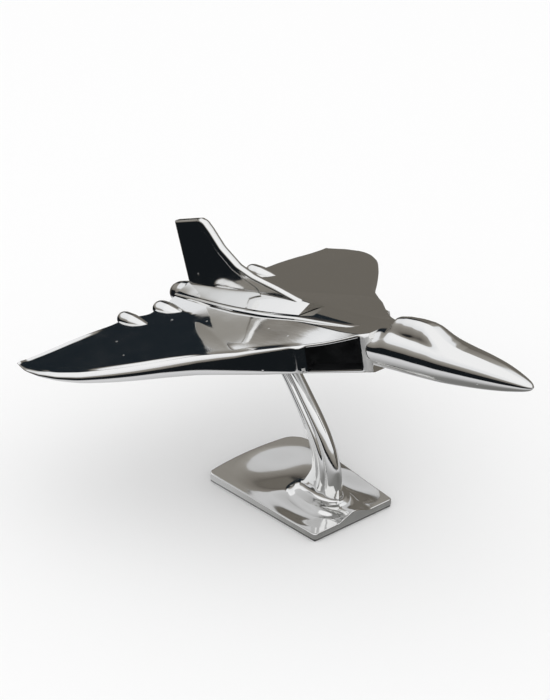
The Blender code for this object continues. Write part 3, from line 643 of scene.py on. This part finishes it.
# Painted reflection on the table: a pale sheet with painted shade darkest right under the model, falling to
# black at its edge.
PAINTED_SHEET_AND_SHADE = ((0.0, (0.16, 0.16, 0.155)), (0.07, (0.22, 0.22, 0.215)), (0.135, (0.58, 0.58, 0.59)),
         (0.2, (0.7, 0.7, 0.72)), (0.245, (0.62, 0.62, 0.63)), (0.27, (0.0, 0.0, 0.0)))


def fill_ramp(ramp_node, stops):
    while len(ramp_node.color_ramp.elements) < len(stops):
        ramp_node.color_ramp.elements.new(0.5)
    for stop, (place, colour) in zip(ramp_node.color_ramp.elements, stops):
        stop.position = place
        stop.color = (*colour, 1)


fill_ramp(sheet_reflection_ramp, PAINTED_SHEET_AND_SHADE)
tree.links.new(far.outputs["Value"], sheet_reflection_ramp.inputs["Fac"])
# Painted reflection of a dim room round the sheet, near-black on one side and warm grey on the other.
room_side = tree.nodes.new("ShaderNodeMapRange")
room_side.inputs["From Min"].default_value = -0.06
room_side.inputs["From Max"].default_value = 0.1
tree.links.new(split.outputs["Y"], room_side.inputs["Value"])
dim_room_reflection = tree.nodes.new("ShaderNodeValToRGB")
dim_room_reflection.color_ramp.elements[0].color = (0.008, 0.01, 0.012, 1)
dim_room_reflection.color_ramp.elements[1].color = (0.15, 0.138, 0.12, 1)
tree.links.new(room_side.outputs["Result"], dim_room_reflection.inputs["Fac"])
painted_reflection = tree.nodes.new("ShaderNodeMix")
painted_reflection.data_type = "RGBA"
painted_reflection.blend_type = "LIGHTEN"
painted_reflection.inputs["Factor"].default_value = 1.0
tree.links.new(sheet_reflection_ramp.outputs["Color"], painted_reflection.inputs[6])
tree.links.new(dim_room_reflection.outputs["Color"], painted_reflection.inputs[7])
# The table glows with these painted colours for reflected rays only; camera and diffuse rays see the plain pale
# paint.
glow = tree.nodes.new("ShaderNodeEmission")
tree.links.new(painted_reflection.outputs[2], glow.inputs["Color"])
paths = tree.nodes.new("ShaderNodeLightPath")
choose = tree.nodes.new("ShaderNodeMixShader")
tree.links.new(paths.outputs["Is Glossy Ray"], choose.inputs["Fac"])
tree.links.new(paint.outputs[0], choose.inputs[1])
tree.links.new(glow.outputs[0], choose.inputs[2])
tree.links.new(choose.outputs[0], tree.nodes["Material Output"].inputs["Surface"])
TABLE_RADIUS = 2.5
mesh = bpy.data.meshes.new("table")
loop = [(TABLE_RADIUS * math.cos(math.pi * k / 64), TABLE_RADIUS * math.sin(math.pi * k / 64), 0)
        for k in range(128)]
mesh.from_pydata(loop, [], [tuple(range(128))])
mesh.materials.append(floor)
table_top = bpy.data.objects.new("table", mesh)
bpy.context.scene.collection.objects.link(table_top)

world_light = bpy.data.worlds.new("studio")
bpy.context.scene.world = world_light
world_light.use_nodes = True
tree = world_light.node_tree
tree.nodes.clear()
out = tree.nodes.new("ShaderNodeOutputWorld")
direction = tree.nodes.new("ShaderNodeTexCoord")
split = tree.nodes.new("ShaderNodeSeparateXYZ")
tree.links.new(direction.outputs["Generated"], split.inputs["Vector"])
room = tree.nodes.new("ShaderNodeTexNoise")
room.inputs["Scale"].default_value = 3.0
room.inputs["Detail"].default_value = 2.5
tree.links.new(direction.outputs["Generated"], room.inputs["Vector"])
sway = tree.nodes.new("ShaderNodeMath")
sway.operation = "MULTIPLY_ADD"
sway.inputs[1].default_value = 0.12
tree.links.new(room.outputs["Fac"], sway.inputs[0])
tree.links.new(split.outputs["Z"], sway.inputs[2])
half_up = tree.nodes.new("ShaderNodeMath")
half_up.operation = "MULTIPLY_ADD"
half_up.inputs[1].default_value = 0.5
half_up.inputs[2].default_value = 0.45
level = tree.nodes.new("ShaderNodeCombineXYZ")
tree.links.new(split.outputs["X"], level.inputs["X"])
tree.links.new(split.outputs["Y"], level.inputs["Y"])
# Towards the starboard side the diffuser hangs lower, so the bands there are lifted.
bearing = tree.nodes.new("ShaderNodeVectorMath")
bearing.operation = "NORMALIZE"
tree.links.new(level.outputs["Vector"], bearing.inputs[0])
bearing_parts = tree.nodes.new("ShaderNodeSeparateXYZ")
tree.links.new(bearing.outputs["Vector"], bearing_parts.inputs["Vector"])
screen = tree.nodes.new("ShaderNodeMapRange")
screen.interpolation_type = "SMOOTHSTEP"
screen.inputs["From Min"].default_value = 0.46
screen.inputs["From Max"].default_value = 0.385
screen.inputs["To Max"].default_value = 0.435
tree.links.new(bearing_parts.outputs["Y"], screen.inputs["Value"])
lifted = tree.nodes.new("ShaderNodeMath")
tree.links.new(sway.outputs[0], lifted.inputs[0])
raised = tree.nodes.new("ShaderNodeMapRange")
raised.interpolation_type = "SMOOTHSTEP"
raised.inputs["From Min"].default_value = 0.225
raised.inputs["From Max"].default_value = 0.268
nearer = tree.nodes.new("ShaderNodeMapRange")
nearer.inputs["From Min"].default_value = 0.38
nearer.inputs["From Max"].default_value = 0.25
nearer.inputs["To Max"].default_value = 0.5
tree.links.new(bearing_parts.outputs["Y"], nearer.inputs["Value"])
higher = tree.nodes.new("ShaderNodeMath")
tree.links.new(split.outputs["Z"], higher.inputs[0])
tree.links.new(nearer.outputs["Result"], higher.inputs[1])
tree.links.new(higher.outputs[0], raised.inputs["Value"])
gated = tree.nodes.new("ShaderNodeMath")
gated.operation = "MULTIPLY"
tree.links.new(screen.outputs["Result"], gated.inputs[0])
tree.links.new(raised.outputs["Result"], gated.inputs[1])
tree.links.new(gated.outputs[0], lifted.inputs[1])
tree.links.new(lifted.outputs[0], half_up.inputs[0])
bands = tree.nodes.new("ShaderNodeValToRGB")
STOPS = ((0.0, (0.01, 0.013, 0.016)), (0.64, (0.012, 0.017, 0.022)), (0.665, (0.09, 0.08, 0.07)),
         (0.70, (0.2, 0.185, 0.165)), (0.77, (0.29, 0.275, 0.25)), (0.81, (0.36, 0.345, 0.32)),
         (0.835, (0.82, 0.83, 0.85)), (1.0, (0.97, 0.97, 0.98)))
fill_ramp(bands, STOPS)
tree.links.new(half_up.outputs[0], bands.inputs["Fac"])


def threshold(value, start, end):
    node = tree.nodes.new("ShaderNodeMapRange")
    node.interpolation_type = "SMOOTHSTEP"
    node.inputs["From Min"].default_value = start
    node.inputs["From Max"].default_value = end
    tree.links.new(value, node.inputs["Value"])
    return node.outputs["Result"]


def patch(below, colour, amount):
    mix = tree.nodes.new("ShaderNodeMix")
    mix.data_type = "RGBA"
    mix.inputs[7].default_value = (*colour, 1)
    tree.links.new(below, mix.inputs[6])
    tree.links.new(amount, mix.inputs["Factor"])
    return mix.outputs[2]


# Warm grey wall low down on the port side.
low_wall = tree.nodes.new("ShaderNodeMath")
low_wall.operation = "MULTIPLY"
taller = tree.nodes.new("ShaderNodeMath")
taller.operation = "MULTIPLY_ADD"
taller.inputs[1].default_value = -0.25
tree.links.new(threshold(bearing_parts.outputs["Y"], 0.565, 0.6), taller.inputs[0])
tree.links.new(lifted.outputs[0], taller.inputs[2])
tree.links.new(threshold(taller.outputs[0], 0.21, 0.17), low_wall.inputs[0])
tree.links.new(threshold(bearing_parts.outputs["Y"], 0.525, 0.57), low_wall.inputs[1])
seen_colour = patch(bands.outputs["Color"], (0.15, 0.138, 0.12), low_wall.outputs[0])
seen = tree.nodes.new("ShaderNodeBackground")
tree.links.new(seen_colour, seen.inputs["Color"])
even = tree.nodes.new("ShaderNodeBackground")
even.inputs["Color"].default_value = (1, 1, 1, 1)
even.inputs["Strength"].default_value = 1.11
paths = tree.nodes.new("ShaderNodeLightPath")
mix = tree.nodes.new("ShaderNodeMixShader")
tree.links.new(paths.outputs["Is Glossy Ray"], mix.inputs["Fac"])
tree.links.new(even.outputs[0], mix.inputs[1])
tree.links.new(seen.outputs[0], mix.inputs[2])
tree.links.new(mix.outputs[0], out.inputs["Surface"])
bpy.context.scene.view_settings.view_transform = "Standard"

camera_data = bpy.data.cameras.new("camera")
camera_data.sensor_width = 36
camera_data.lens = 113.4
camera = bpy.data.objects.new("camera", camera_data)
bpy.context.scene.collection.objects.link(camera)
azimuth, elevation, away = math.radians(50.2), math.radians(28.8), 1.3074
aim = Vector((-0.0264, 0, 0.0865))
level_part = math.cos(elevation)
back = Vector((math.sin(azimuth) * level_part, -math.cos(azimuth) * level_part, math.sin(elevation)))
camera.location = aim + back * away
camera.rotation_euler = (-back).to_track_quat("-Z", "Y").to_euler()
bpy.context.scene.camera = camera
